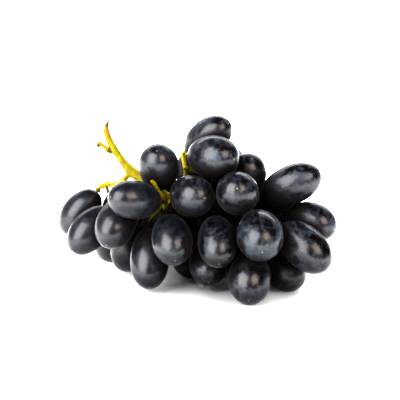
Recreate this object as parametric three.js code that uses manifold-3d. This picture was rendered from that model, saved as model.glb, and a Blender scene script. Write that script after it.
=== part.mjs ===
// A bunch of black table grapes with long oval berries, as picked, lying on a table. Millimetres, +Z up,
// the table at Z = 0. The bunch is seen from -Y, with its cut stalk standing up at the left.
//
// A bunch is a branching stalk and its berries. The stalk grew as one piece: the main stem, its side
// branches and the little stalks that carry the berries, each of which ends in a flared seat. Every berry
// is a piece of its own, an egg-shaped fruit with a dimple where it sits on its seat.
import * as THREE from "three";
import { mergeVertices } from "three/addons/utils/BufferGeometryUtils.js";
import Module from "manifold-3d";

const { Vector3, MathUtils } = THREE;

// Where the bunch was measured from: an eye this far away and this far above the horizon.
const EYE_DISTANCE = 750;
const EYE_ELEVATION = 17;

// Berries
const PIECE_GAP = 0.45;
const EGG_SHAPE = 0.055;
const DIMPLE_DEPTH = 0.9;
const DIMPLE_WIDE = 3.4;
const DIMPLE_RIM = 2.1;
const SEAT_HALF = 1;
const BERRY_SIDES = 14;
const BERRY_RINGS = 8;
const FOOT_DEPTH = 0.14;

// Stalk: radii
const BRANCH_RADIUS = 1.05;
const BRANCH_TAPER = [1.25, 0.9];
const STALKLET_RADIUS = 0.78;
const STALKLET_TAPER = [1.1, 1];
const STALK_CLEAR = 0.55;
const BERRY_CLEAR = 0.3;
const STEM_SIDES = 9;
const BRANCH_SIDES = 6;
const STALKLET_SIDES = 6;

// The flared seat at the end of a little stalk: how far short of the berry's dimple each of its rings is,
// and the ring's radius.
const SEAT_RINGS = [
  [1.9, 0.74],
  [1.15, 1.75],
  [0.72, 1.58],
];

// The survey. A place is [across, up, back]: across and up in the picture plane as the eye sees it, from
// the foot of the front berry and the middle of the picture, and back behind that plane. A berry points,
// from its seat to its free end, [turn, toward]: turn is the angle in the picture plane, anticlockwise from
// the right, and toward is how far that end comes towards the eye. Its size is [long, wide]. The main stem
// is given with its radius at each place, from the cut tip down into the bunch.
const STEM = [
  [[-45.7, 91.5, 37], 0.25],
  [[-46.3, 90.1, 37], 0.4],
  [[-46.9, 88.6, 37], 0.95],
  [[-46.8, 85.9, 37], 1.42],
  [[-46.0, 83.2, 37], 1.5],
  [[-44.7, 80.0, 37], 1.68],
  [[-42.8, 76.8, 36.5], 1.85],
  [[-40.4, 73.4, 36], 1.68],
  [[-37.8, 69.9, 35.5], 1.85],
  [[-34.6, 66.1, 35], 2.6],
  [[-30.0, 63.1, 34], 2.75],
  [[-23.5, 58.0, 32], 2.2],
  [[-16.2, 53.4, 31], 2.0],
  [[-6.0, 52.5, 31], 1.75],
  [[6.0, 52.0, 30], 1.6],
  [[16.5, 49.5, 28], 1.5],
  [[26.5, 44.5, 26], 1.3],
  [[37.0, 39.5, 27], 1.1],
];
const STEM_BASE = 10;

// Stubs: the side shoot with its knob, the thick elbow of the shoulder twig, two cut twigs, and a knot on
// the top branch.
const STUBS = [
  [
    [[-42.8, 76.3, 37], 1.5],
    [[-44.9, 76.5, 36.6], 1.35],
    [[-46.8, 77.2, 36.2], 1.05],
    [[-48.3, 78.6, 36], 0.92],
    [[-49.6, 79.7, 36], 0.88],
    [[-50.8, 80.2, 36], 0.95],
    [[-51.0, 79.2, 36], 0.8],
    [[-50.8, 78.2, 36], 0.5],
  ],
  [
    [[-44.9, 59.2, 40], 0.85],
    [[-46.6, 59.9, 41], 1.2],
    [[-48.0, 58.9, 43.2], 1.0],
    [[-49.4, 58.4, 45.1], 1.1],
  ],
  [
    [[-46.8, 60.0, 41], 0.9],
    [[-46.5, 57.6, 40.8], 0.65],
    [[-45.9, 55.4, 40.5], 0.75],
  ],
  [
    [[-17.6, 50.6, 15], 0.8],
    [[-19.6, 54.6, 13.5], 0.65],
    [[-21.8, 58.2, 12], 0.62],
    [[-23.2, 60.4, 10.8], 1.0],
    [[-24.1, 61.6, 10.3], 0.85],
  ],
  [
    [[-8.0, 67.6, 34], 0.9],
    [[-6.4, 67.3, 33.6], 1.45],
    [[-4.2, 66.3, 33.4], 1.2],
    [[-2.4, 65.6, 33.4], 0.7],
  ],
];

const BRANCHES = {
  shoulder: [
    { at: [-59.5, 45.8, 48], points: [232, -10], size: [29.5, 19.2] },
    { at: [-54.8, 37.0, 32], points: [232, 15], size: [30.5, 19.3] },
  ],
  left: [
    { at: [-32.3, 51.8, 2], points: [174, 38], size: [31, 19.6] },
    { at: [-41.8, 40.8, 15], points: [248, 35], size: [31, 20.4] },
  ],
  left_under: [
    { at: [-34.5, 28.8, 46], points: [255, -30], size: [29, 20] },
    { at: [-42, 29.6, 58], points: [205, -45], size: [28, 20] },
    { at: [-30, 45, 50], points: [215, -35], size: [29, 20], hidden: true },
  ],
  left_top: [
    { at: [-20.6, 67.6, 22], points: [95, 55], size: [29.5, 20.9] },
    { at: [-13, 56, 58], points: [120, -50], size: [27, 19.6], hidden: true },
  ],
  top: [
    { at: [6.2, 73.2, 22], points: [-8, 45], size: [31, 22.6] },
    { at: [3.6, 82.6, 41], points: [33, 35], size: [31.5, 19] },
    { at: [-3, 65.5, 46], points: [100, -45], size: [28, 20.4] },
  ],
  front_left: [
    { at: [-4.5, 53.8, 10], points: [-10, 62], size: [29, 21.2] },
    { at: [-14.2, 32.3, 8], points: [280, 45], size: [31, 20.7] },
    { at: [-25.2, 23.4, 24], points: [270, 25], size: [34, 20] },
  ],
  front: [
    { at: [8.4, 31.3, 6], points: [274, 45], size: [32, 19.8] },
    { at: [3.9, 21, 21], points: [270, 45], size: [28.5, 19.6] },
    { at: [-4, 24, 45], points: [260, 40], size: [28, 20] },
  ],
  front_right: [
    { at: [18.7, 54.9, 6], points: [100, 80], size: [30, 21.8] },
    { at: [29.9, 34.5, -6], points: [275, 58], size: [32, 23.2] },
    { at: [24.7, 13.2, 4], points: [265, 45], size: [30, 21.1] },
    { at: [16, 25, 44], points: [280, -35], size: [28, 20], hidden: true },
  ],
  right_top: [
    { at: [22.2, 62.4, 44], points: [70, 45], size: [28.5, 20.8] },
    { at: [8, 67, 63], points: [80, -60], size: [28, 20], hidden: true },
  ],
  right: [
    { at: [45, 59, 22], points: [23, 16], size: [34.5, 20.2] },
    { at: [36, 43, 40], points: [-20, -50], size: [28, 20], hidden: true },
  ],
  right_end: [
    { at: [51.8, 28.5, 6], points: [-43, 22], size: [34, 21.4] },
    { at: [55.3, 41.2, 24], points: [-20, 30], size: [29, 19.8] },
    { at: [41.2, 17.2, 22], points: [-35, 40], size: [28, 19.4] },
    { at: [38, 26, 46], points: [290, -35], size: [28, 20], hidden: true },
    { at: [50, 36, 54], points: [-10, -55], size: [28, 19.6], hidden: true },
  ],
  back_left: [
    { at: [-20, 32, 66], points: [260, -50], size: [28, 20], hidden: true },
    { at: [4, 36, 72], points: [275, -50], size: [28, 20.4], hidden: true },
    { at: [-20, 52, 70], points: [150, -60], size: [29, 20], hidden: true },
    { at: [-6, 46, 54], points: [180, -60], size: [28, 20], hidden: true },
    { at: [-24, 42, 52], points: [200, -60], size: [27, 20], hidden: true },
  ],
  back_right: [
    { at: [15, 43, 54], points: [0, -70], size: [27, 20], hidden: true },
    { at: [9, 48, 78], points: [90, -75], size: [29, 21.4], hidden: true },
    { at: [29, 48.5, 72], points: [40, -65], size: [29, 20], hidden: true },
    { at: [28, 31, 68], points: [280, -55], size: [28, 20], hidden: true },
    { at: [45, 33, 70], points: [-40, -50], size: [28, 20], hidden: true },
    { at: [35, 47, 66], points: [20, -60], size: [28.5, 21], hidden: true },
  ],
};

// Branches whose way shows between the berries.
BRANCHES.shoulder.way = [
  [-35.0, 65.4, 35],
  [-37.2, 62.8, 35.5],
  [-39.2, 60.9, 37],
  [-42.4, 59.4, 39],
  [-46.4, 59.8, 41],
];
BRANCHES.top.way = [[-13, 52, 30.5], [-9, 58, 32], [-7.2, 64, 33], [-6.5, 68, 34]];

const radians = MathUtils.degToRad;
const eyeRight = new Vector3(1, 0, 0);
const eyeUp = new Vector3(0, Math.sin(radians(EYE_ELEVATION)), Math.cos(radians(EYE_ELEVATION)));
const eyeAway = new Vector3(0, Math.cos(radians(EYE_ELEVATION)), -Math.sin(radians(EYE_ELEVATION)));
const PICTURE_MIDDLE_UP = 51.75;

// The point on the sight line through (across, up) in the picture plane, back mm behind that plane.
function seen([across, up, back]) {
  const spread = 1 + back / EYE_DISTANCE;
  const height = PICTURE_MIDDLE_UP + (up - PICTURE_MIDDLE_UP) * spread;
  return new Vector3()
    .addScaledVector(eyeRight, across * spread)
    .addScaledVector(eyeUp, height)
    .addScaledVector(eyeAway, back);
}

function pointing([turn, toward]) {
  const t = radians(turn);
  const inPicture = Math.cos(radians(toward));
  return new Vector3()
    .addScaledVector(eyeRight, Math.cos(t) * inPicture)
    .addScaledVector(eyeUp, Math.sin(t) * inPicture)
    .addScaledVector(eyeAway, -Math.sin(radians(toward)));
}

// A berry is filled by balls strung along its axis, each as large as the berry is wide there.
const BALLS = 7;
function ballsOf([long, wide]) {
  const a = long / 2;
  const b = wide / 2;
  const reach = (a * a - b * b) / a;
  return Array.from({ length: BALLS }, (_, i) => {
    const s = reach * ((2 * i) / (BALLS - 1) - 1);
    return { s, r: b * Math.sqrt(1 - (s * s) / (a * a - b * b)) * (1 + (EGG_SHAPE * s) / a) };
  });
}

const berries = Object.entries(BRANCHES).flatMap(([branch, list]) =>
  list.map((b, i) => ({
    name: `berry_${branch}_${i + 1}`,
    branch,
    hidden: Boolean(b.hidden),
    size: b.size,
    home: seen(b.at),
    homeAxis: pointing(b.points),
    centre: seen(b.at),
    axis: pointing(b.points),
    balls: ballsOf(b.size),
  })),
);

const along = (berry, s) => berry.centre.clone().addScaledVector(berry.axis, s);
const seatOf = (berry) => along(berry, -berry.size[0] / 2 + DIMPLE_DEPTH);

// Pushes a berry by a shift at the place s along its axis: it moves, and turns a little. A berry that the
// survey saw gives way in depth more readily than across, where its place is known.
const GIVES_ACROSS = 0.45;
function nudge(berry, s, shift) {
  if (!berry.hidden) {
    const deep = eyeAway.clone().multiplyScalar(shift.dot(eyeAway));
    shift.sub(deep).multiplyScalar(GIVES_ACROSS).add(deep);
  }
  berry.centre.add(shift);
  berry.axis.addScaledVector(shift, s / (berry.size[0] * berry.size[0])).normalize();
}

// Keeps two berries a gap apart, by moving both. One that the survey didn't see gives way more.
const YIELDS = 0.85;
function part(one, other) {
  const far = (one.size[0] + other.size[0]) / 2 + PIECE_GAP;
  if (one.centre.distanceTo(other.centre) > far) return 0;
  let worst = 0;
  let push = null;
  for (const p of one.balls) {
    const here = along(one, p.s);
    for (const q of other.balls) {
      const line = along(other, q.s).sub(here);
      const bite = p.r + q.r + PIECE_GAP - line.length();
      if (bite > worst) {
        worst = bite;
        push = { p, q, line };
      }
    }
  }
  if (push) {
    const share = one.hidden === other.hidden ? 0.5 : one.hidden ? YIELDS : 1 - YIELDS;
    const away = push.line.clone().setLength(worst);
    nudge(other, push.q.s, away.clone().multiplyScalar(1 - share));
    nudge(one, push.p.s, away.multiplyScalar(-share));
  }
  return worst;
}

// Keeps a berry off the table, and lets it press into it by the depth of its foot.
function stand(berry) {
  for (const p of berry.balls) {
    const low = along(berry, p.s).z - p.r + FOOT_DEPTH;
    if (low < 0) nudge(berry, p.s, new Vector3(0, 0, -low));
  }
}

// Keeps a berry off the stalk, given as a list of balls.
function clearOf(berry, stalkBalls) {
  for (const ball of stalkBalls) {
    if (ball.owner === berry) continue;
    for (const p of berry.balls) {
      const line = along(berry, p.s).sub(ball.at);
      const bite = p.r + ball.r + STALK_CLEAR - line.length();
      if (bite > 0) nudge(berry, p.s, line.setLength(bite * 0.5));
    }
  }
}

const HOLD_ACROSS = 0.16;
const HOLD_BACK = 0.01;
const HOLD_HIDDEN = 0.02;
function hold(berry) {
  const off = berry.home.clone().sub(berry.centre);
  const deep = eyeAway.clone().multiplyScalar(off.dot(eyeAway));
  const flat = off.sub(deep);
  berry.centre.addScaledVector(flat, berry.hidden ? HOLD_HIDDEN : HOLD_ACROSS);
  berry.centre.addScaledVector(deep, berry.hidden ? HOLD_HIDDEN : HOLD_BACK);
  berry.axis.lerp(berry.homeAxis, HOLD_ACROSS).normalize();
}

function settle(rounds, stalkBalls, holding) {
  let worst = 0;
  for (let i = 0; i < rounds; i++) {
    if (holding) berries.forEach(hold);
    berries.forEach((b) => clearOf(b, stalkBalls));
    worst = 0;
    berries.forEach((b, k) => berries.slice(k + 1).forEach((c) => (worst = Math.max(worst, part(b, c)))));
    berries.forEach(stand);
  }
  return worst;
}

// The stalk's ways. A way is a smooth line of points from a root, by some places, to an end. It is relaxed
// like a stretched thread, and pushed out of every berry but the one that it carries. A way that was
// surveyed keeps nearly all of its slack.
const BRANCH_STEP = 3;
const STALKLET_STEP = 4.2;
const WAY_ROUNDS = 90;
const SLACK = 0.35;
const SURVEYED_SLACK = 0.002;

function wayThrough(places, radius, step, owner, slack = SLACK) {
  const line = new THREE.CatmullRomCurve3(places, false, "centripetal");
  const steps = Math.max(3, Math.round(line.getLength() / step));
  const points = line.getSpacedPoints(steps);
  for (let round = 0; round < WAY_ROUNDS; round++) {
    for (let i = 1; i < points.length - 1; i++) {
      const middle = points[i - 1].clone().add(points[i + 1]).multiplyScalar(0.5);
      points[i].lerp(middle, slack);
      for (const berry of berries) {
        if (berry === owner && i > points.length - 3) continue;
        if (berry.centre.distanceTo(points[i]) > berry.size[0]) continue;
        for (const ball of berry.balls) {
          const out = points[i].clone().sub(along(berry, ball.s));
          const bite = ball.r + radius + STALK_CLEAR - out.length();
          if (bite > 0) points[i].add(out.setLength(bite));
        }
      }
    }
  }
  return points;
}

const stemPoints = STEM.map(([at]) => seen(at));

// The place on the inner stem where a branch leaves it: the nearest point, set back towards the stem's
// base, because branches lean towards the tip.
const LEAN = 5;
const STEM_SAMPLES = 60;
function rootFor(hub) {
  const inner = stemPoints.slice(STEM_BASE);
  const samples = new THREE.CatmullRomCurve3(inner, false, "centripetal").getSpacedPoints(STEM_SAMPLES);
  const nearest = samples.reduce((best, p) => (p.distanceTo(hub) < best.distanceTo(hub) ? p : best));
  const setBack = samples.filter((p) => p.distanceTo(nearest) <= LEAN);
  return setBack[0];
}

// Every branch of the stalk, and on it the little stalk of each of its berries.
const BRANCH_REACH = 0.8;
const NECK_RUN = 4.6;
function growStalk() {
  return Object.entries(BRANCHES).map(([branch, list]) => {
    const mine = berries.filter((b) => b.branch === branch);
    const hub = mine.reduce((sum, b) => sum.add(seatOf(b)), new Vector3()).divideScalar(mine.length);
    const way = list.way ? list.way.map(seen) : null;
    const root = way ? way[0] : rootFor(hub);
    const end = way ? way.at(-1) : root.clone().lerp(hub, BRANCH_REACH);
    const places = way ?? [root, root.clone().lerp(end, 0.5), end];
    const points = wayThrough(places, BRANCH_RADIUS, BRANCH_STEP, null, way ? SURVEYED_SLACK : SLACK);
    const stalklets = mine.map((berry, i) => {
      const seat = seatOf(berry);
      const neck = seat.clone().addScaledVector(berry.axis, -NECK_RUN);
      const from = points[Math.max(1, points.length - 1 - (i % 3))];
      return { berry, points: wayThrough([from, neck], STALKLET_RADIUS, STALKLET_STEP, berry) };
    });
    return { branch, points, stalklets };
  });
}

function ballsAlong(points, r, owner) {
  return points.map((at) => ({ at, r, owner }));
}

// The berries settle round the bare stem, then the stalk grows between them, and both are gone over again:
// held to their places first, and at the end free, so that no two berries touch.
const FIRST_ROUNDS = 400;
const RETRIES = 4;
const HELD_ROUNDS = 60;
const FREE_ROUNDS = 30;
const stemBalls = STEM.slice(STEM_BASE).map(([at, r]) => ({ at: seen(at), r }));
settle(FIRST_ROUNDS, stemBalls, true);
let stalk = growStalk();
for (let i = 0; i < RETRIES; i++) {
  const stalkBalls = stalk.flatMap((b) => [
    ...ballsAlong(b.points, BRANCH_RADIUS, null),
    ...b.stalklets.flatMap((s) => ballsAlong(s.points, STALKLET_RADIUS, s.berry)),
  ]);
  settle(HELD_ROUNDS, [...stemBalls, ...stalkBalls], true);
  settle(FREE_ROUNDS, [...stemBalls, ...stalkBalls], false);
  stalk = growStalk();
}

// A round rod through a line of points, with a radius at each: a cylinder's rings, each set square to the
// line. The rings keep their turn from one point to the next, so that the rod doesn't twist. The first
// one's turn comes from a direction that no rod runs in.
const ROD_SIDE = new Vector3(0.31, 0.57, 0.76);
function rodThrough(points, radii, sides) {
  const steps = points.length - 1;
  const rod = new THREE.CylinderGeometry(1, 1, 1, sides, steps);
  const normal = ROD_SIDE.clone();
  const frames = points.map((_, i) => {
    const tangent = points[Math.min(i + 1, steps)].clone().sub(points[Math.max(i - 1, 0)]).normalize();
    normal.addScaledVector(tangent, -normal.dot(tangent)).normalize();
    return { normal: normal.clone(), binormal: tangent.cross(normal) };
  });
  const position = rod.getAttribute("position");
  for (let i = 0; i < position.count; i++) {
    const step = Math.round((position.getY(i) + 0.5) * steps);
    const at = points[step]
      .clone()
      .addScaledVector(frames[step].normal, position.getX(i) * radii[step])
      .addScaledVector(frames[step].binormal, -position.getZ(i) * radii[step]);
    position.setXYZ(i, at.x, at.y, at.z);
  }
  return rod;
}

const wasm = await Module();
wasm.setup();
const WELD = 1e-3;

function solidOf(geometry) {
  const bare = geometry.clone();
  bare.deleteAttribute("normal");
  bare.deleteAttribute("uv");
  const merged = mergeVertices(bare, WELD);
  return new wasm.Manifold(
    new wasm.Mesh({
      numProp: 3,
      vertProperties: new Float32Array(merged.getAttribute("position").array),
      triVerts: new Uint32Array(merged.index.array),
    }),
  );
}

function geometryOf(solid) {
  const { vertProperties, triVerts } = solid.getMesh();
  const geometry = new THREE.BufferGeometry();
  geometry.setAttribute("position", new THREE.BufferAttribute(new Float32Array(vertProperties), 3));
  geometry.setIndex(new THREE.BufferAttribute(new Uint32Array(triVerts), 1));
  geometry.computeVertexNormals();
  return geometry;
}

// A berry about its own centre, with its free end up Y: an egg, a little fuller past its middle, with the
// dimple.
function eggProfile([long, wide]) {
  const a = long / 2;
  const b = wide / 2;
  const rim = Math.asin(DIMPLE_RIM / b);
  const rings = Array.from({ length: BERRY_RINGS + 1 }, (_, i) => (i * Math.PI) / BERRY_RINGS);
  const angles = [rings[0], rim, ...rings.slice(1)];
  return angles.map((angle) => {
    const across = b * Math.sin(angle) * (1 - EGG_SHAPE * Math.cos(angle));
    const dimple = angle < SEAT_HALF ? DIMPLE_DEPTH * Math.exp(-((across / (DIMPLE_WIDE / 2)) ** 2)) : 0;
    return new THREE.Vector2(Math.max(across, 0), -a * Math.cos(angle) + dimple);
  });
}

function berryGeometry(berry, grow = 0) {
  const [long, wide] = berry.size;
  const profile = eggProfile(berry.size);
  profile[0].x = 0;
  profile.at(-1).x = 0;
  const egg = new THREE.LatheGeometry(profile, BERRY_SIDES);
  egg.scale(1 + (2 * grow) / wide, 1 + (2 * grow) / long, 1 + (2 * grow) / wide);
  egg.applyQuaternion(new THREE.Quaternion().setFromUnitVectors(new Vector3(0, 1, 0), berry.axis));
  return egg;
}

// A berry that stands on the table is lowered until it presses into it, and cut flat there.
const TOUCHING = 0.6;
const SLAB = 60;
function standOnTable(berry, egg) {
  egg.computeBoundingBox();
  const low = berry.centre.z + egg.boundingBox.min.z;
  if (low > TOUCHING) return egg;
  berry.centre.z -= low + FOOT_DEPTH;
  const table = new THREE.BoxGeometry(SLAB, SLAB, SLAB).translate(0, 0, -SLAB / 2 - berry.centre.z);
  return geometryOf(solidOf(egg).subtract(solidOf(table)));
}

const skin = new THREE.MeshStandardMaterial({ color: "#15131b", roughness: 0.35, metalness: 0 });
const green = new THREE.MeshStandardMaterial({ color: "#b5ad2c", roughness: 0.55, metalness: 0 });

function berryMesh(berry) {
  const mesh = new THREE.Mesh(standOnTable(berry, berryGeometry(berry)), skin);
  mesh.name = berry.name;
  mesh.position.copy(berry.centre);
  return mesh;
}

// The radius at each of the points, from the first share of it to the last.
const taper = (points, radius, [first, last]) =>
  points.map((_, i) => radius * MathUtils.lerp(first, last, i / (points.length - 1)));

// A little stalk with its seat, in one rod.
function stalkletRod({ berry, points }) {
  const face = seatOf(berry);
  const ends = SEAT_RINGS.map(([short]) => face.clone().addScaledVector(berry.axis, -short));
  const radii = [...taper(points, STALKLET_RADIUS, STALKLET_TAPER), ...SEAT_RINGS.map(([, r]) => r)];
  return rodThrough([...points, ...ends], radii, STALKLET_SIDES);
}

const surveyRod = (places, sides) =>
  rodThrough(places.map(([at]) => seen(at)), places.map(([, radius]) => radius), sides);

function stalkMesh() {
  const rods = [surveyRod(STEM, STEM_SIDES), ...STUBS.map((stub) => surveyRod(stub, BRANCH_SIDES))];
  for (const { points, stalklets } of stalk) {
    rods.push(rodThrough(points, taper(points, BRANCH_RADIUS, BRANCH_TAPER), BRANCH_SIDES));
    rods.push(...stalklets.map(stalkletRod));
  }
  let whole = wasm.Manifold.union(rods.map(solidOf));
  for (const berry of berries) {
    const room = berryGeometry(berry, BERRY_CLEAR);
    whole = whole.subtract(solidOf(room.translate(...berry.centre.toArray())));
  }
  const largest = whole.decompose().reduce((a, b) => (a.volume() > b.volume() ? a : b));
  const mesh = new THREE.Mesh(geometryOf(largest), green);
  mesh.name = "stalk";
  return mesh;
}

const bunch = new THREE.Group();
bunch.name = "bunch_of_grapes";
berries.forEach((berry) => bunch.add(berryMesh(berry)));
bunch.add(stalkMesh());

// The bunch's own frame: the middle of its box, at table height.
const box = new THREE.Box3().setFromObject(bunch);
const middle = box.getCenter(new Vector3());
bunch.position.set(-middle.x, -middle.y, 0);

export default bunch;
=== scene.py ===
# %% [markdown]
# # A bunch of black table grapes
#
# A bunch is a green stalk that branches, and at the end of each little stalk sits a berry. The CAD model
# already says where each of these is and how large it is, with plain faceted solids. This lesson dresses
# them: it makes every berry again as a fine egg-shaped surface with the small marks that a grape has, gives
# it a dark skin with a pale bloom on it, and turns the faceted stalk into a grown, knobbly one.
#
# First the frame is loaded. Everything else is worked out from its meshes, so next to nothing is placed by
# hand.

# %% Load the frame
import math

import bmesh
import bpy
import numpy as np
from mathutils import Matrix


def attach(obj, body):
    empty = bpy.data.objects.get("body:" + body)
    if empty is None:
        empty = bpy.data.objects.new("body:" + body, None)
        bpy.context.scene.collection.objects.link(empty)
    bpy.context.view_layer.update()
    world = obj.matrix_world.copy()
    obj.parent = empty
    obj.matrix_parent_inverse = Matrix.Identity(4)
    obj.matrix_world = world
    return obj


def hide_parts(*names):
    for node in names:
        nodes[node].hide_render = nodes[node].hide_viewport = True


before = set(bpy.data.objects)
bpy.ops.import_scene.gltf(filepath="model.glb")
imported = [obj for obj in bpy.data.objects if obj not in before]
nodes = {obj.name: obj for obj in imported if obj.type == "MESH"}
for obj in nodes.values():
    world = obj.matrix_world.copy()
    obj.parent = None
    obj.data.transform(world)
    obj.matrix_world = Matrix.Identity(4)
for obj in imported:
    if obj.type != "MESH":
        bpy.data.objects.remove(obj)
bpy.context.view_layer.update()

MM = 0.001
berry_names = sorted(name for name in nodes if name.startswith("berry_"))
print("frame:", len(berry_names), "berries and the stalk")

# %% [markdown]
# ## Helpers
#
# Colours are easiest to choose as hex values, which are in sRGB, but Blender's shaders count in linear
# light, so one function turns them over. A second function adds a shader node with its settings and its
# links in one call, because a material is much easier to read when each node is one statement.

# %% Colours and nodes
def linear(hex_value):
    """An sRGB hex colour as linear red, green, blue and alpha."""
    srgb = np.array([int(hex_value[i:i + 2], 16) for i in (1, 3, 5)]) / 255
    low = srgb / 12.92
    high = ((srgb + 0.055) / 1.055) ** 2.4
    return (*np.where(srgb <= 0.04045, low, high), 1.0)


def add(tree, kind, inputs=None, **settings):
    """Adds a node. The settings are the node's own, such as its operation. Each input is set by its name or
    number: to a value, or linked to a socket, or to the first output in use of a node."""
    node = tree.nodes.new(kind)
    for name, value in settings.items():
        setattr(node, name, value)
    for name, value in (inputs or {}).items():
        if isinstance(value, bpy.types.Node):
            value = next(socket for socket in value.outputs if socket.enabled)
        if isinstance(value, bpy.types.NodeSocket):
            tree.links.new(value, node.inputs[name])
        else:
            node.inputs[name].default_value = value
    return node


# %% [markdown]
# Grown things are never quite even. A smooth random field is a sum of waves: each wave runs in a seeded
# random direction with a seeded phase, and with a dozen of them no pattern is seen. It works on whole
# arrays of points.

# %% A smooth random field
def ripples(points, wavelength, seed, waves=14):
    """The sum of cosine waves in random directions, of about that wavelength, mostly between -1 and 1."""
    draw = np.random.default_rng(seed)
    directions = draw.normal(size=(waves, 3))
    directions /= np.linalg.norm(directions, axis=1, keepdims=True)
    lengths = wavelength * draw.uniform(0.7, 1.5, waves)
    phases = draw.uniform(0, 2 * np.pi, waves)
    angles = points @ (directions.T * (2 * np.pi / lengths)) + phases
    return np.cos(angles).sum(axis=1) / math.sqrt(2 * waves)


def mesh_points(mesh):
    """The mesh's vertices as an array of rows x, y, z, in millimetres."""
    flat = np.empty(len(mesh.vertices) * 3)
    mesh.vertices.foreach_get("co", flat)
    return flat.reshape(-1, 3) / MM


# %% [markdown]
# ## Where each berry is
#
# A CAD berry is a faceted egg. Its long axis is the direction in which its corners spread most, which is
# the first eigenvector of their covariance. Its length is its reach along that axis, and its width is twice
# the largest distance from it. The seat end is the one nearer to the stalk.

# %% Measure the CAD berries
def measure(name, stalk_points):
    """Centre, axis from seat to free end, length and width of a CAD berry, in millimetres."""
    corners = np.unique(mesh_points(nodes[name].data).round(3), axis=0)
    spread = np.cov((corners - corners.mean(axis=0)).T)
    axis = np.linalg.eigh(spread)[1][:, -1]
    reach = (corners - corners.mean(axis=0)) @ axis
    centre = corners.mean(axis=0) + axis * (reach.max() + reach.min()) / 2
    length = reach.max() - reach.min()
    ends = [centre - axis * length / 2, centre + axis * length / 2]
    nearest = [np.linalg.norm(stalk_points - end, axis=1).min() for end in ends]
    if nearest[1] < nearest[0]:
        axis = -axis
    offset = corners - centre
    across = np.linalg.norm(offset - np.outer(offset @ axis, axis), axis=1)
    return {"name": name, "centre": centre, "axis": axis, "length": length, "width": 2 * across.max()}


stalk_points = mesh_points(nodes["stalk"].data)
berries = [measure(name, stalk_points) for name in berry_names]
lengths = [b["length"] for b in berries]
widths = [b["width"] for b in berries]
print(f"berries: {min(lengths):.1f} to {max(lengths):.1f} mm long")
print(f"and {min(widths):.1f} to {max(widths):.1f} mm wide")

# %% [markdown]
# ## The shape of a berry
#
# A table grape of this kind is an egg that is a little fuller past its middle. It has a shallow dimple
# round its seat, with faint pleats running into it, and a small scar at its free end, where the flower was.
# All of that is a radius and a height as functions of two angles, so it is one grid of points. The rings
# lie closer together at both ends, because the dimple and the scar are small. Sizes below are in
# millimetres and angles in radians.

# %% The egg as a grid
AROUND = 88
RINGS = 62
EGG_SHAPE = 0.055
DIMPLE_DEEP = 0.9
DIMPLE_WIDE = 3.4
PLEATS = 7
PLEAT_HIGH = 0.06
PLEAT_PLACE = 2.4
PLEAT_WIDE = 1.3
SCAR_RADIUS = 0.42
NUB_HIGH = 0.15
NUB_PART = 0.6
PIT_DEEP = 0.16
PIT_WIDE = 0.9
SWELL = 0.007
SWELL_MM = 17
SEAT_END = 1
FREE_END = 2
END_CROWDING = 0.72


def egg_grid(length, width, seed):
    """Points of an egg about its centre with its free end up z, rings from seat to free end, in
    millimetres. The polar angle runs from 0 at the seat to pi, and the radius is half the width times its
    sine, made larger past the middle. The dimple and the scar are bell curves of the distance from the
    axis, and the whole surface swells and sinks by a tenth of a millimetre in broad waves."""
    draw = np.random.default_rng(seed)
    s = np.linspace(0, 1, RINGS + 2)
    polar = np.pi * (s - END_CROWDING * np.sin(2 * np.pi * s) / (2 * np.pi))[:, None]
    turn = np.linspace(0, 2 * np.pi, AROUND, endpoint=False)[None, :]
    radius = width / 2 * np.sin(polar) * (1 - EGG_SHAPE * np.cos(polar)) * np.ones_like(turn)
    height = -length / 2 * np.cos(polar) * np.ones_like(turn)
    at_seat = polar < SEAT_END
    at_free_end = polar > FREE_END
    bell = np.exp(-((radius / (DIMPLE_WIDE / 2)) ** 2))
    pleat = np.exp(-(((radius - PLEAT_PLACE) / PLEAT_WIDE) ** 2))
    pleat = pleat * np.cos(PLEATS * turn + draw.uniform(0, 6))
    height = height + at_seat * (DIMPLE_DEEP * bell + PLEAT_HIGH * pleat)
    pit = np.exp(-((radius / PIT_WIDE) ** 2)) * at_free_end
    nub = np.exp(-((radius / (SCAR_RADIUS * NUB_PART)) ** 2)) * at_free_end
    height = height - PIT_DEEP * pit + NUB_HIGH * nub
    points = np.stack([radius * np.cos(turn), radius * np.sin(turn), height], axis=-1)
    swell = 1 + SWELL * ripples(points.reshape(-1, 3), SWELL_MM, seed).reshape(RINGS + 2, AROUND)
    points[..., :2] *= swell[..., None]
    return points


def closed_faces(rings, around):
    """Quads between neighbouring rings, and a fan of triangles to the point at each end."""
    ring, step = np.meshgrid(np.arange(rings - 1), np.arange(around), indexing="ij")
    corner = ring * around + step
    after = ring * around + (step + 1) % around
    quads = np.stack([corner, after, after + around, corner + around], axis=-1).reshape(-1, 4)
    here = np.arange(around)
    following = (here + 1) % around
    first, last = rings * around, rings * around + 1
    top = (rings - 1) * around
    start = np.stack([following, here, np.full(around, first)], axis=-1)
    finish = np.stack([top + here, top + following, np.full(around, last)], axis=-1)
    return quads.tolist() + start.tolist() + finish.tolist()


berry_faces = closed_faces(RINGS, AROUND)
print("one berry:", RINGS * AROUND + 2, "points,", len(berry_faces), "faces")

# %% [markdown]
# Where two grapes touch, the bloom is rubbed away. A few millimetres further out from each neighbour, and
# from the table, the bloom is taken away as well. That wider part is painted shade: the skin goes dark
# there.
# To know where this is, each point of a berry gets its distance to the nearest other berry, which is taken
# as
# a plain ellipsoid: the implicit value of the ellipsoid at a point, divided by its slope there, is close to
# the true distance. It is stored on the mesh as an attribute, along with the berry's own coordinates and
# the distances from its seat and from its free end, for the material to read.

# %% Distance to the neighbours
NEIGHBOUR_REACH_MM = 42


def side_axes(axis):
    """Two unit vectors square to the axis and to each other. The helper is any way far from the axis."""
    helper = np.array([0.0, 0.0, 1.0]) if abs(axis[2]) < 0.8 else np.array([1.0, 0.0, 0.0])
    first = np.cross(helper, axis)
    first /= np.linalg.norm(first)
    return first, np.cross(axis, first)


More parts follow.
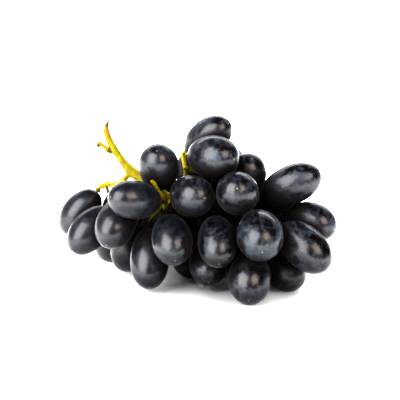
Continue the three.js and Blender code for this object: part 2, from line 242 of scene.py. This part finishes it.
def gap_to(points, berry):
    """About how far each point lies outside a berry, in millimetres."""
    first, second = side_axes(berry["axis"])
    local = (points - berry["centre"]) @ np.stack([first, second, berry["axis"]], axis=1)
    halves = np.array([berry["width"], berry["width"], berry["length"]]) / 2
    value = np.linalg.norm(local / halves, axis=1)
    slope = np.linalg.norm(local / halves**2, axis=1)
    return value * (value - 1) / np.maximum(slope, 1e-9)


def nearest_gap(points, berry):
    """The distance from each point to the nearest other berry, or to the table."""
    close = [
        other for other in berries
        if other is not berry and np.linalg.norm(other["centre"] - berry["centre"]) < NEIGHBOUR_REACH_MM
    ]
    gaps = [gap_to(points, other) for other in close] + [points[:, 2]]
    return np.maximum(np.min(gaps, axis=0), 0)


# %% [markdown]
# Deep in a bunch the berries shelter each other. How sheltered a place is can be summed up: every other
# berry counts by the share of the view that it fills, and by how squarely the skin faces it. The skin uses
# this to paint shade into the crevices.

# %% Shelter
def shelter(points, normals, berry):
    """The sum over the other berries of the square of their radius over their distance, times the cosine of
    the angle between the skin's normal and the way to them. It is 0 in the open and past 1 in a crevice."""
    total = np.zeros(len(points))
    for other in berries:
        if other is berry:
            continue
        way = other["centre"] - points
        distance = np.linalg.norm(way, axis=1)
        facing = np.maximum((way * normals).sum(axis=1) / distance, 0)
        radius = (other["width"] + other["length"]) / 4
        total += facing * np.minimum(radius / distance, 1) ** 2
    return total


# %% [markdown]
# The grid is turned and moved to its place, and flattened where it would sink into the table. Blender gets
# the points and faces in one call, and the attributes as whole arrays.

# %% Make a berry
EVEN_TO_PATCHY_MM = 35
PATCHY_MIDDLE = 0.3
PATCHY_CHANCE = 0.4
DUST_SEEDS = 900
PATTERN_SEEDS = 500
PATTERN_SHIFT_MM = 400


def store(mesh, name, values):
    """Stores one number, or one vector, for every point of the mesh."""
    kind = "FLOAT" if values.ndim == 1 else "FLOAT_VECTOR"
    field = "value" if values.ndim == 1 else "vector"
    mesh.attributes.new(name, kind, "POINT").data.foreach_set(field, values.astype(np.float32).ravel())


def dustiness(berry, seed):
    """From -1 for an even, thin bloom to 1 for a patchy one. The berries at the left end are even."""
    chance = np.random.default_rng(seed + DUST_SEEDS).uniform(-PATCHY_CHANCE, PATCHY_CHANCE)
    return float(np.clip(berry["centre"][0] / EVEN_TO_PATCHY_MM + PATCHY_MIDDLE + chance, -1, 1))


def make_berry(berry, seed):
    """A fine berry in place of its CAD node. The pattern on its skin starts at a place of its own."""
    grid = egg_grid(berry["length"], berry["width"], seed)
    first, second = side_axes(berry["axis"])
    local = np.concatenate([grid[1:-1].reshape(-1, 3), grid[0, :1], grid[-1, :1]])
    turned = np.stack([first, second, berry["axis"]])
    points = berry["centre"] + local @ turned
    points[:, 2] = np.maximum(points[:, 2], 0)
    normals = (local / np.array([berry["width"], berry["width"], berry["length"]]) ** 2) @ turned
    normals /= np.linalg.norm(normals, axis=1, keepdims=True)
    mesh = bpy.data.meshes.new(berry["name"] + "_fine")
    mesh.from_pydata((points * MM).tolist(), [], berry_faces)
    shift = np.random.default_rng(seed + PATTERN_SEEDS).uniform(-PATTERN_SHIFT_MM, PATTERN_SHIFT_MM, 3)
    store(mesh, "skin_mm", local + shift)
    store(mesh, "touch_mm", nearest_gap(points, berry))
    store(mesh, "shelter", shelter(points, normals, berry))
    store(mesh, "seat_mm", np.linalg.norm(local - local[-2], axis=1))
    store(mesh, "end_mm", np.linalg.norm(local - local[-1], axis=1))
    store(mesh, "dusty", np.full(len(points), dustiness(berry, seed)))
    mesh.polygons.foreach_set("use_smooth", np.ones(len(mesh.polygons), bool))
    mesh.update()
    piece = bpy.data.objects.new(berry["name"] + "_fine", mesh)
    bpy.context.scene.collection.objects.link(piece)
    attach(piece, "root")
    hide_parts(berry["name"])
    return piece


berry_pieces = [make_berry(berry, seed) for seed, berry in enumerate(berries)]
print("made", len(berry_pieces), "berries")

# %% [markdown]
# ## The skin
#
# The skin of a black grape is a thin, nearly black film with a little purple in it, as smooth as wax. Over
# it lies the bloom, a fine pale wax that the berry makes itself. It is matte and blue-grey, thin enough to
# see the dark skin through it, and patchy: rubbed off where berries touch and where hands were, and scuffed
# in fine lines.
#
# So one number decides, at each place, how much bloom there is, and colour, roughness and bump all follow
# it. It is made of broad patches torn by smaller ones, less fine scuffs that run along the berry, less what
# the neighbours rubbed off, with painted shade a few millimetres round each contact. How patchy a berry is
# was stored on its mesh, so some are even and others blotched. Deep inside the bunch the bloom is taken
# away as well. This is painted shade in the crevices, and the skin there goes dark.
#
# Each noise runs from about 0.3 to 0.7. A pair of limits says where its pattern starts to show and where it
# is complete. To the eye the bloom gives soft, cloudy grey-blue, and the bare skin clean black.

# %% How much bloom there is
PATCH_MM = 7.0
TEAR_MM = 2.2
SCUFF_MM = 1.0
GRAIN_MM = 0.5
EVEN_BLOOM = 0.25
PATCH_SHARE = 0.5
COVER_FROM = 0.44
COVER_FULL = 0.61
PATCHY_LEAST = 0.25
SCUFF_SQUEEZE = 0.2
SCUFF_WORST = 0.36
SCUFF_NONE = 0.5
SCUFF_LEAVES = 0.7
RUBBED_SHADED_MM = 0.5
UNRUBBED_UNSHADED_MM = 5.0
OPEN_SHELTER = 0.3
DEEP_SHELTER = 1.0
NOISE_LOW = 0.3
NOISE_HIGH = 0.7
GRAIN_THIN = 0.8
GRAIN_THICK = 1.15

skin = bpy.data.materials.new("waxy_grape_skin_with_bloom")
skin.use_nodes = True
tree = skin.node_tree
shader = tree.nodes["Principled BSDF"]

place = add(tree, "ShaderNodeAttribute", attribute_name="skin_mm").outputs["Vector"]
touch = add(tree, "ShaderNodeAttribute", attribute_name="touch_mm").outputs["Fac"]
seat = add(tree, "ShaderNodeAttribute", attribute_name="seat_mm").outputs["Fac"]
end = add(tree, "ShaderNodeAttribute", attribute_name="end_mm").outputs["Fac"]
dusty = add(tree, "ShaderNodeAttribute", attribute_name="dusty").outputs["Fac"]

patches = add(
    tree, "ShaderNodeTexNoise",
    {"Vector": place, "Scale": 1 / PATCH_MM, "Detail": 4, "Roughness": 0.55, "Distortion": 1.0},
)
tears = add(
    tree, "ShaderNodeTexNoise",
    {"Vector": place, "Scale": 1 / TEAR_MM, "Detail": 5, "Roughness": 0.65, "Distortion": 0.8},
)
cover = add(tree, "ShaderNodeMath", {0: patches, 1: PATCH_SHARE}, operation="MULTIPLY")
cover = add(tree, "ShaderNodeMath", {0: tears, 1: 1 - PATCH_SHARE, 2: cover}, operation="MULTIPLY_ADD")
cover = add(
    tree, "ShaderNodeMapRange", {"Value": cover, "From Min": COVER_FROM, "From Max": COVER_FULL},
    interpolation_type="SMOOTHSTEP",
)

patchy = add(tree, "ShaderNodeMapRange", {"Value": dusty, "From Min": -1.0, "To Min": PATCHY_LEAST})
cover = add(tree, "ShaderNodeMix", {0: patchy, 2: EVEN_BLOOM, 3: cover}, data_type="FLOAT")

stretched = add(tree, "ShaderNodeMapping", {"Vector": place, "Scale": (1, 1, SCUFF_SQUEEZE)})
scuffs = add(
    tree, "ShaderNodeTexNoise",
    {"Vector": stretched, "Scale": 1 / SCUFF_MM, "Detail": 4, "Roughness": 0.6, "Distortion": 1.5},
)
left_by_scuffs = add(
    tree, "ShaderNodeMapRange",
    {"Value": scuffs, "From Min": SCUFF_WORST, "From Max": SCUFF_NONE, "To Min": SCUFF_LEAVES},
    interpolation_type="SMOOTHSTEP",
)
# Painted shade and rubbing: the bloom is gone at a contact and only comes back 5 mm out from each neighbour
# and from the table, so the skin is painted dark there, as shade.
rubbed_and_shaded_by_neighbours = add(
    tree, "ShaderNodeMapRange", {"Value": touch, "From Min": RUBBED_SHADED_MM, "From Max": UNRUBBED_UNSHADED_MM},
    interpolation_type="SMOOTHSTEP",
)
grain = add(tree, "ShaderNodeTexNoise", {"Vector": place, "Scale": 1 / GRAIN_MM, "Detail": 2})
grainy = add(
    tree, "ShaderNodeMapRange",
    {"Value": grain, "From Min": NOISE_LOW, "From Max": NOISE_HIGH,
     "To Min": GRAIN_THIN, "To Max": GRAIN_THICK},
)
sheltered = add(tree, "ShaderNodeAttribute", attribute_name="shelter").outputs["Fac"]
# Painted shade: in a crevice between berries the bloom is taken away, so the skin goes dark. The same mask
# also takes the coat away and makes the skin dull there.
open_unshaded = add(
    tree, "ShaderNodeMapRange",
    {"Value": sheltered, "From Min": OPEN_SHELTER, "From Max": DEEP_SHELTER, "To Min": 1.0, "To Max": 0.0},
    interpolation_type="SMOOTHSTEP",
)
bloom_less_shade = cover
for share in (left_by_scuffs, rubbed_and_shaded_by_neighbours, grainy, open_unshaded):
    bloom_less_shade = add(tree, "ShaderNodeMath", {0: bloom_less_shade, 1: share}, operation="MULTIPLY")
print("bloom:", len(tree.nodes), "nodes")

# %% [markdown]
# Small marks make it a grape and not a ball: pale breathing pores and specks of dust a few tenths of a
# millimetre wide, the tan scar at the free end, and a brownish ring round the seat.

# %% Marks on the skin
SKIN_DARK = linear("#020203")
SKIN_PURPLE = linear("#150b12")
BLOOM = linear("#2e3640")
PORE = linear("#5f5d59")
SCAR = linear("#85703f")
SEAT_RING = linear("#3a301f")
PORE_SPACING_MM = 2.3
PORE_RADIUS_MM = 0.16
PORE_STRENGTH = 0.4
RING_OUTER_MM = 3.4
RING_INNER_MM = 1.6
RING_STRENGTH = 0.7
SCAR_EDGE = 1.2
SCAR_MIDDLE = 0.7
SCAR_STRENGTH = 0.85

cells = add(tree, "ShaderNodeTexVoronoi", {"Vector": place, "Scale": 1 / PORE_SPACING_MM})
pores = add(
    tree, "ShaderNodeMapRange",
    {"Value": cells.outputs["Distance"], "From Min": 2 * PORE_RADIUS_MM / PORE_SPACING_MM,
     "From Max": PORE_RADIUS_MM / PORE_SPACING_MM, "To Max": PORE_STRENGTH},
    interpolation_type="SMOOTHSTEP",
)
ring = add(
    tree, "ShaderNodeMapRange",
    {"Value": seat, "From Min": RING_OUTER_MM, "From Max": RING_INNER_MM, "To Max": RING_STRENGTH},
    interpolation_type="SMOOTHSTEP",
)
scar = add(
    tree, "ShaderNodeMapRange",
    {"Value": end, "From Min": SCAR_RADIUS * SCAR_EDGE, "From Max": SCAR_RADIUS * SCAR_MIDDLE,
     "To Max": SCAR_STRENGTH},
    interpolation_type="SMOOTHSTEP",
)

colour = add(tree, "ShaderNodeMix", {0: patches, 6: SKIN_DARK, 7: SKIN_PURPLE}, data_type="RGBA")
for mask, layer in ((bloom_less_shade, BLOOM), (pores, PORE), (ring, SEAT_RING), (scar, SCAR)):
    colour = add(tree, "ShaderNodeMix", {0: mask, 6: colour, 7: layer}, data_type="RGBA")
tree.links.new(colour.outputs[2], shader.inputs["Base Color"])
print("marks: pores", PORE_SPACING_MM, "mm apart")

# %% [markdown]
# Wax has an index of refraction of about 1.45. Bare skin mirrors the lamps with soft edges, and the bloom
# blurs them more. The outermost film of wax is smooth but hardly denser than the bloom, so it is a coat
# with a low index: it adds next to nothing where one looks straight at it, and the thin bright rim where
# one looks along the skin. A little sheen stands for the powdery bloom. Places deep in the bunch are dull,
# with no coat, because a mirror-like rim there would show as a white slit between two dark berries.
#
# The bump is in two sizes. The flesh under the skin is softly uneven over a few millimetres, so that a
# reflection wavers. The bloom's own grain is much finer, and breaks the reflection up.

# %% Gloss and bump
SHINE_RUBBED = 0.31
SHINE_BLOOM = 0.5
DULL_INSIDE = 0.9
SKIN_IOR = 1.45
COAT_IOR = 1.16
COAT_ROUGHNESS = 0.06
SHEEN = 0.1
SHEEN_ROUGHNESS = 0.25
WAVER_MM = 3.4
WAVER_DEEP_MM = 0.3
WAVER_STRENGTH = 0.5
GRAIN_DEEP_MM = 0.04
GRAIN_STRENGTH = 0.4

gloss = add(tree, "ShaderNodeMapRange", {"Value": bloom_less_shade, "To Min": SHINE_RUBBED, "To Max": SHINE_BLOOM})
gloss = add(tree, "ShaderNodeMix", {0: open_unshaded, 2: DULL_INSIDE, 3: gloss}, data_type="FLOAT")
tree.links.new(gloss.outputs[0], shader.inputs["Roughness"])
tree.links.new(open_unshaded.outputs[0], shader.inputs["Coat Weight"])
shader.inputs["IOR"].default_value = SKIN_IOR
shader.inputs["Coat IOR"].default_value = COAT_IOR
shader.inputs["Coat Roughness"].default_value = COAT_ROUGHNESS
shader.inputs["Sheen Weight"].default_value = SHEEN
shader.inputs["Sheen Roughness"].default_value = SHEEN_ROUGHNESS

uneven = add(tree, "ShaderNodeTexNoise", {"Vector": place, "Scale": 1 / WAVER_MM, "Detail": 2})
waver = add(
    tree, "ShaderNodeBump", {"Height": uneven, "Strength": WAVER_STRENGTH, "Distance": WAVER_DEEP_MM * MM}
)
relief = add(tree, "ShaderNodeMath", {0: bloom_less_shade, 1: grain}, operation="ADD")
fine = add(
    tree, "ShaderNodeBump",
    {"Height": relief, "Strength": GRAIN_STRENGTH, "Distance": GRAIN_DEEP_MM * MM, "Normal": waver},
)
tree.links.new(fine.outputs["Normal"], shader.inputs["Normal"])

for piece in berry_pieces:
    piece.data.materials.append(skin)
print("skin:", len(tree.nodes), "nodes")

# %% [markdown]
# ## The stalk
#
# The CAD stalk is rods with six or nine flat sides, joined with hard creases. A grown stalk flows from one
# branch into the next. Remeshing the joined rods with small voxels gives an even skin of small quads over
# the whole thing, and smoothing that skin fills the creases as growth does. After that the points are moved
# along their normals: low knobs and grooves everywhere, and small warts near the seats.

# %% Remesh and smooth the stalk
WELD_MM = 0.004
VOXEL_MM = 0.31
SMOOTHING = 6
SMOOTHING_SHARE = 0.5

merged = bmesh.new()
merged.from_mesh(nodes["stalk"].data)
bmesh.ops.remove_doubles(merged, verts=merged.verts, dist=WELD_MM * MM)
rough_mesh = bpy.data.meshes.new("stalk_rough")
merged.to_mesh(rough_mesh)
merged.free()
rough_mesh.materials.clear()
rough = bpy.data.objects.new("stalk_rough", rough_mesh)
bpy.context.scene.collection.objects.link(rough)
remesh = rough.modifiers.new("even skin", "REMESH")
remesh.mode = "VOXEL"
remesh.voxel_size = VOXEL_MM * MM
smooth = rough.modifiers.new("flow", "SMOOTH")
smooth.factor = SMOOTHING_SHARE
smooth.iterations = SMOOTHING
graph = bpy.context.evaluated_depsgraph_get()
stalk_mesh = bpy.data.meshes.new_from_object(rough.evaluated_get(graph))
bpy.data.objects.remove(rough)
stalk_mesh.name = "stalk_grown"
print("stalk:", len(stalk_mesh.vertices), "points after remeshing")

# %% [markdown]
# Smoothing thins a rod, so the points first go out again by a little. How knobbly a place is depends on how
# near it is to a berry's seat, and that distance is stored for the material too, with the distance from the
# cut tip. Two more numbers tell the material where the stalk is brown: how deep in a crease a point lies,
# and how near it is to one of the few withered places. Those are listed one by one, each with its reach.

# %% Creases
CREASE_ROUNDS = 4
CREASE_UNITS = 10


def crease(mesh, points, normals):
    """How far the points round each point stand out above it, in units of 0.1 mm. The way from a point to
    the mean of its neighbours, along the normal, is above 0 in a crease. It is then evened out over a few
    rings of neighbours."""
    edges = np.empty(len(mesh.edges) * 2, np.int32)
    mesh.edges.foreach_get("vertices", edges)
    both = np.concatenate([edges.reshape(-1, 2), edges.reshape(-1, 2)[:, ::-1]])
    count = np.bincount(both[:, 0], minlength=len(points))

    def mean_round(values):
        return np.bincount(both[:, 0], weights=values[both[:, 1]], minlength=len(points)) / count

    mean = np.stack([mean_round(points[:, i]) for i in range(3)], axis=1)
    hollow = ((mean - points) * normals).sum(axis=1)
    for _ in range(CREASE_ROUNDS):
        hollow = mean_round(hollow)
    return hollow * CREASE_UNITS


# %% [markdown]
# The knobs are two random fields, a broad one and a finer one. The warts are the hills alone of a third,
# still finer field, and fade away from the seats. Each of the three has a height and a wavelength in
# millimetres and a seed. All of them move the points along their normals, by a tenth of a millimetre or so.

# %% Grow the stalk's knobs
PUFF_MM = 0.29
BROAD_KNOBS = (0.09, 3.1, 71)
FINE_KNOBS = (0.05, 1.2, 72)
WARTS = (0.11, 0.8, 73)
WART_REACH_MM = 3.0
WITHERED = [
    ((-45.8, 5.6, 41.3), 2.0),
    ((-46.5, 6.5, 43.5), 1.6),
    ((-44.9, 8.3, 63.6), 1.8),
    ((-50.8, 8.5, 66.5), 1.0),
]

normals = np.empty(len(stalk_mesh.vertices) * 3)
stalk_mesh.vertices.foreach_get("normal", normals)
normals = normals.reshape(-1, 3)
skin_points = mesh_points(stalk_mesh)
seats = np.array([b["centre"] - b["axis"] * (b["length"] / 2 - DIMPLE_DEEP) for b in berries])
to_seat = np.full(len(skin_points), 1e3)
for spot in seats:
    to_seat = np.minimum(to_seat, np.linalg.norm(skin_points - spot, axis=1))
tip = skin_points[skin_points[:, 2].argmax()]
to_tip = np.linalg.norm(skin_points - tip, axis=1)

near_seat = np.exp(-((to_seat / WART_REACH_MM) ** 2))
fields = [high * ripples(skin_points, wide, seed) for high, wide, seed in (BROAD_KNOBS, FINE_KNOBS, WARTS)]
knobs = fields[0] + fields[1]
warts = np.maximum(fields[2], 0) * near_seat
moved = skin_points + normals * (PUFF_MM + knobs + warts)[:, None]
stalk_mesh.vertices.foreach_set("co", (moved * MM).ravel())
store(stalk_mesh, "seat_mm", to_seat)
store(stalk_mesh, "tip_mm", to_tip)
stalk_mesh.polygons.foreach_set("use_smooth", np.ones(len(stalk_mesh.polygons), bool))
stalk_mesh.update()
creases = crease(stalk_mesh, moved, normals)
store(stalk_mesh, "crease", creases)
bells = [np.exp(-((np.linalg.norm(skin_points - spot, axis=1) / reach) ** 2)) for spot, reach in WITHERED]
store(stalk_mesh, "withered", np.max(bells, axis=0))
print("creases:", round(100 * float((creases > 0).mean()), 1), "% of the stalk")
stalk_piece = bpy.data.objects.new("stalk_grown", stalk_mesh)
bpy.context.scene.collection.objects.link(stalk_piece)
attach(stalk_piece, "root")
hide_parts("stalk")

# %% [markdown]
# ## The stalk's material
#
# A fresh stalk is a green, juicy stem that is starting to turn to wood. Its skin is yellow and a little
# translucent, with orange-tan and green shades and brown flecks. It is dry and brown where it was cut and
# where a twig withered, and brown in the creases at its joints too. That makes it look alive a few days
# ago.
# Deep inside the bunch it is painted nearly black, which is painted shade.

# %% The stalk's colours
STALK_YELLOW = linear("#948801")
STALK_GREEN = linear("#747204")
STALK_TAN = linear("#8c660a")
STALK_FLECK = linear("#443410")
STALK_DRY = linear("#55390a")
# Nearly black: painted shade for the stalk deep inside the bunch.
STALK_PAINTED_SHADE = linear("#0d0e05")
SHADES_MM = 5.5
FLECKS_MM = 0.9
FIBRE_MM = 0.45
FIBRE_DEEP_MM = 0.15
FIBRE_STRENGTH = 0.6
STALK_ROUGHNESS = 0.6
STALK_IOR = 1.3
JUICE = 0.2
JUICE_DEPTH_MM = 0.8
JUICE_COLOURS = (1.0, 0.8, 0.2)

stalk_skin = bpy.data.materials.new("fresh_green_grape_stalk")
stalk_skin.use_nodes = True
tree = stalk_skin.node_tree
shader = tree.nodes["Principled BSDF"]
metres = add(tree, "ShaderNodeTexCoord").outputs["Object"]
place = add(tree, "ShaderNodeMapping", {"Vector": metres, "Scale": (1 / MM,) * 3})
seat = add(tree, "ShaderNodeAttribute", attribute_name="seat_mm").outputs["Fac"]
tip_way = add(tree, "ShaderNodeAttribute", attribute_name="tip_mm").outputs["Fac"]
hollow = add(tree, "ShaderNodeAttribute", attribute_name="crease").outputs["Fac"]
withered = add(tree, "ShaderNodeAttribute", attribute_name="withered").outputs["Fac"]
shades = add(tree, "ShaderNodeTexNoise", {"Vector": place, "Scale": 1 / SHADES_MM, "Detail": 4})
specks = add(
    tree, "ShaderNodeTexNoise", {"Vector": place, "Scale": 1 / FLECKS_MM, "Detail": 4, "Roughness": 0.7}
)

# %% [markdown]
# Each colour shows where something passes a limit: the noise of the shades or the specks, the distance in
# millimetres from a seat or from the cut tip, the depth of a crease, or how withered a place is. So one
# table holds what each mask follows, where it starts, where it is full, and how strong it then is. Further
# than about 55 mm from the tip the stalk lies inside the bunch. There it is painted nearly black as painted
# shade, for the little light that reaches it.

# %% Where each colour shows
MASKS = {
    "greener": (shades, 0.5, 0.7, 1.0),
    "tanner": (shades, 0.42, 0.3, 0.7),
    "tan near the tip": (tip_way, 15.0, 5.0, 0.6),
    "flecks": (specks, 0.56, 0.68, 0.75),
    "dry tip": (tip_way, 5.0, 2.0, 1.0),
    "dry seat": (seat, 3.4, 1.2, 0.6),
    "brown crease": (hollow, -0.03, 0.03, 0.7),
    "withered": (withered, 0.25, 0.6, 0.85),
    # Painted shade: past 54 mm from the cut tip the stalk is painted nearly black.
    "painted shade inside": (tip_way, 54.0, 59.0, 0.92),
}
masks = {
    name: add(
        tree, "ShaderNodeMapRange",
        {"Value": value, "From Min": start, "From Max": full, "To Max": strength},
        interpolation_type="SMOOTHSTEP",
    )
    for name, (value, start, full, strength) in MASKS.items()
}
tanner = add(
    tree, "ShaderNodeMath", {0: masks["tanner"], 1: masks["tan near the tip"]}, operation="MAXIMUM"
)
dry = masks["dry tip"]
for name in ("dry seat", "brown crease", "withered"):
    dry = add(tree, "ShaderNodeMath", {0: dry, 1: masks[name]}, operation="MAXIMUM")

layers = [
    (masks["greener"], STALK_GREEN),
    (tanner, STALK_TAN),
    (masks["flecks"], STALK_FLECK),
    (dry, STALK_DRY),
    (masks["painted shade inside"], STALK_PAINTED_SHADE),
]
colour = STALK_YELLOW
for mask, layer in layers:
    colour = add(tree, "ShaderNodeMix", {0: mask, 6: colour, 7: layer}, data_type="RGBA")
tree.links.new(colour.outputs[2], shader.inputs["Base Color"])
print("stalk:", len(masks), "masks, tip at", tip.round(1).tolist(), "mm")

# %% [markdown]
# A juicy stem lets a little light through, mostly yellow. Its skin is dull, nearly without shine, so its
# index of refraction is set lower than the 1.45 of wax. The fibres under the skin show as a fine bump.

# %% The stalk's surface
shader.inputs["Roughness"].default_value = STALK_ROUGHNESS
shader.inputs["IOR"].default_value = STALK_IOR
shader.inputs["Subsurface Weight"].default_value = JUICE
shader.inputs["Subsurface Radius"].default_value = JUICE_COLOURS
shader.inputs["Subsurface Scale"].default_value = JUICE_DEPTH_MM * MM
fibres = add(
    tree, "ShaderNodeTexNoise", {"Vector": place, "Scale": 1 / FIBRE_MM, "Detail": 4, "Roughness": 0.65}
)
fibre_bump = add(
    tree, "ShaderNodeBump", {"Height": fibres, "Strength": FIBRE_STRENGTH, "Distance": FIBRE_DEEP_MM * MM}
)
tree.links.new(fibre_bump.outputs["Normal"], shader.inputs["Normal"])
stalk_mesh.materials.clear()
stalk_mesh.materials.append(stalk_skin)
print("stalk:", len(tree.nodes), "nodes")

# %% [markdown]
# ## Camera
#
# The bunch was seen from the front and 17 degrees above, from 75 cm away, and the picture is 20 cm wide at
# that distance. That gives the focal length, with the sensor that Blender has by default.

# %% The camera
EYE_DISTANCE = 750 * MM
EYE_ELEVATION = math.radians(17)
PICTURE_WIDE = 200 * MM
LOOK_AT = np.array([2.5, -34.3, 49.5]) * MM

camera_data = bpy.data.cameras.new("eye")
camera_data.lens = camera_data.sensor_width * EYE_DISTANCE / PICTURE_WIDE
camera_data.clip_start = 10 * MM
camera = bpy.data.objects.new("eye", camera_data)
bpy.context.scene.collection.objects.link(camera)
back = np.array([0, -math.cos(EYE_ELEVATION), math.sin(EYE_ELEVATION)])
camera.location = LOOK_AT + back * EYE_DISTANCE
camera.rotation_euler = (math.pi / 2 - EYE_ELEVATION, 0, 0)
bpy.context.scene.camera = camera
print("camera: focal length", round(camera_data.lens, 1), "mm")

# %% [markdown]
# ## Light
#
# Dark glossy fruit is drawn by what it mirrors. A large softbox stands at the front left and a smaller,
# warmer one at the front right, both a little above the eye, with a dark gap between. A thin strip behind
# draws the bright arc on the top of each berry. These three are only mirrored. What the bloom and the stalk
# get comes from lamps at both sides, overhead and behind, which are left out of the mirror images, so that
# each can be set on its own.
#
# The table is a white sheet that also glows by its own emission. That glow is painted light, and it keeps
# the background clean white. It glows more away from the bunch, so that the shadow stays near the berries'
# feet, and most in front, where the lower halves of the berries mirror it. Behind it is dimmer, or else the
# berries' outlines would drown in it.

# %% A white table
TABLE_HALF = 3.0
GLOW_CENTRE = (18 * MM, -15 * MM, 0)
GLOW_NEAR = 0.48
GLOW_FAR = 2.9
GLOW_BEHIND = 0.3
GLOW_NEAR_FROM = 15 * MM
GLOW_NEAR_FULL = 75 * MM
GLOW_FAR_FROM = 60 * MM
GLOW_FAR_FULL = 160 * MM
FRONT_FROM = 50 * MM
FRONT_FULL = -80 * MM
SHEET_WHITE = linear("#dcdcdc")
SHEET_ROUGHNESS = 0.8
SHEET_SPECULAR = 0.1

table_mesh = bpy.data.meshes.new("table")
corners = [(TABLE_HALF * x, TABLE_HALF * y, 0) for x, y in ((-1, -1), (1, -1), (1, 1), (-1, 1))]
table_mesh.from_pydata(corners, [], [(0, 1, 2, 3)])
table = bpy.data.objects.new("table", table_mesh)
bpy.context.scene.collection.objects.link(table)

sheet = bpy.data.materials.new("white_sheet_with_painted_glow")
sheet.use_nodes = True
tree = sheet.node_tree
shader = tree.nodes["Principled BSDF"]
shader.inputs["Base Color"].default_value = SHEET_WHITE
shader.inputs["Roughness"].default_value = SHEET_ROUGHNESS
shader.inputs["Specular IOR Level"].default_value = SHEET_SPECULAR
where = add(tree, "ShaderNodeNewGeometry").outputs["Position"]
away = add(tree, "ShaderNodeVectorMath", {0: where, 1: GLOW_CENTRE}, operation="DISTANCE").outputs["Value"]
glow_near = add(
    tree, "ShaderNodeMapRange",
    {"Value": away, "From Min": GLOW_NEAR_FROM, "From Max": GLOW_NEAR_FULL, "To Max": GLOW_NEAR},
    interpolation_type="SMOOTHSTEP",
)
glow_far = add(
    tree, "ShaderNodeMapRange",
    {"Value": away, "From Min": GLOW_FAR_FROM, "From Max": GLOW_FAR_FULL, "To Max": GLOW_FAR},
    interpolation_type="SMOOTHSTEP",
)
beside = add(tree, "ShaderNodeSeparateXYZ", {"Vector": where}).outputs["Y"]
in_front = add(
    tree, "ShaderNodeMapRange",
    {"Value": beside, "From Min": FRONT_FROM, "From Max": FRONT_FULL, "To Min": GLOW_BEHIND},
    interpolation_type="SMOOTHSTEP",
)
glow_far = add(tree, "ShaderNodeMath", {0: glow_far, 1: in_front}, operation="MULTIPLY")
# Painted light: the table's emission fills in its shadow away from the berries' feet.
glow = add(tree, "ShaderNodeMath", {0: glow_near, 1: glow_far}, operation="MAXIMUM")
shader.inputs["Emission Color"].default_value = (1, 1, 1, 1)
tree.links.new(glow.outputs[0], shader.inputs["Emission Strength"])
table_mesh.materials.append(sheet)
print("table:", 2 * TABLE_HALF, "m square")

# %% [markdown]
# The room is a world shader. What the camera sees of it is plain white. What the fruit sees depends on the
# direction: grey at the back and the left, and nearly dark overhead and at the front.

# %% The room
ROOM_BACK = 0.6
ROOM_TOP = 0.02
ROOM_FRONT = 0.002
BACK_LEFT = (-0.5, 0.87, 0.0)
FRONT_ENDS = -0.1
BACK_STARTS = 0.4
TOP_FROM = 0.35
TOP_FULL = 0.8

world = bpy.data.worlds.new("room")
bpy.context.scene.world = world
world.use_nodes = True
tree = world.node_tree
background = tree.nodes["Background"]
background.inputs["Color"].default_value = (1, 1, 1, 1)
direction = add(tree, "ShaderNodeTexCoord").outputs["Generated"]
axes = add(tree, "ShaderNodeSeparateXYZ", {"Vector": direction})
away = add(tree, "ShaderNodeVectorMath", {0: direction, 1: BACK_LEFT}, operation="DOT_PRODUCT")
round_the_room = add(
    tree, "ShaderNodeMapRange",
    {"Value": away.outputs["Value"], "From Min": FRONT_ENDS, "From Max": BACK_STARTS,
     "To Min": ROOM_FRONT, "To Max": ROOM_BACK},
    interpolation_type="SMOOTHSTEP",
)
upwards = add(
    tree, "ShaderNodeMapRange", {"Value": axes.outputs["Z"], "From Min": TOP_FROM, "From Max": TOP_FULL},
    interpolation_type="SMOOTHSTEP",
)
room = add(tree, "ShaderNodeMix", {0: upwards, 2: round_the_room, 3: ROOM_TOP}, data_type="FLOAT")
seen = add(tree, "ShaderNodeLightPath").outputs["Is Camera Ray"]
strength = add(tree, "ShaderNodeMath", {0: room, 1: seen}, operation="MAXIMUM")
tree.links.new(strength.outputs[0], background.inputs["Strength"])
print("room:", len(tree.nodes), "nodes")

# %% [markdown]
# The lamps are rectangles that all face the middle of the bunch. Each is set by where it stands, seen from
# the bunch: so many degrees round to the right from the camera, so many above the table, and so many metres
# away. Then come its width and height in metres, and how bright it looks. A lamp that is only mirrored, or
# one that only lights matte things, says so.

# %% Softboxes
AIM_HEIGHT = 40 * MM


def softbox(name, azimuth, elevation, distance, size, radiance, colour="#ffffff", shine=True, matte=True):
    """A rectangular area light that faces the bunch, from degrees to the right of the camera and above the
    table. Its watts are four times its area times how bright it looks. It can be left out of reflections,
    or be seen in them only."""
    data = bpy.data.lights.new(name, "AREA")
    data.shape = "RECTANGLE"
    data.size, data.size_y = size
    data.energy = 4 * size[0] * size[1] * radiance
    data.color = linear(colour)[:3]
    light = bpy.data.objects.new(name, data)
    bpy.context.scene.collection.objects.link(light)
    turn, rise = math.radians(azimuth), math.radians(elevation)
    light.location = (
        distance * math.sin(turn) * math.cos(rise),
        -distance * math.cos(turn) * math.cos(rise),
        distance * math.sin(rise) + AIM_HEIGHT,
    )
    light.rotation_euler = (math.pi / 2 - rise, 0, turn)
    light.visible_glossy = shine
    light.visible_diffuse = matte


softbox("softbox_left", -46, 31, 1.2, (1.15, 1.3), 6.5, matte=False)
softbox("softbox_right", 36, 35, 1.2, (0.72, 0.72), 6.0, "#ffeee0", matte=False)
softbox("side_light_left", -64, 30, 1.2, (0.9, 0.7), 5.8, shine=False)
softbox("side_light_right", 60, 34, 1.2, (0.7, 0.6), 4.6, shine=False)
softbox("overhead", 0, 80, 1.6, (2.2, 2.2), 0.6, shine=False)
softbox("backlight", 180, 55, 1.6, (3.2, 1.2), 5.5, shine=False)
softbox("rim_strip", 180, 32, 1.7, (2.6, 0.2), 3.8, matte=False)

# %% [markdown]
# A picture of fruit is usually printed with strong contrast: the gaps between the berries go to black while
# the table stays white.

# %% Contrast
scene = bpy.context.scene
scene.view_settings.view_transform = "Standard"
scene.view_settings.look = "Very High Contrast"
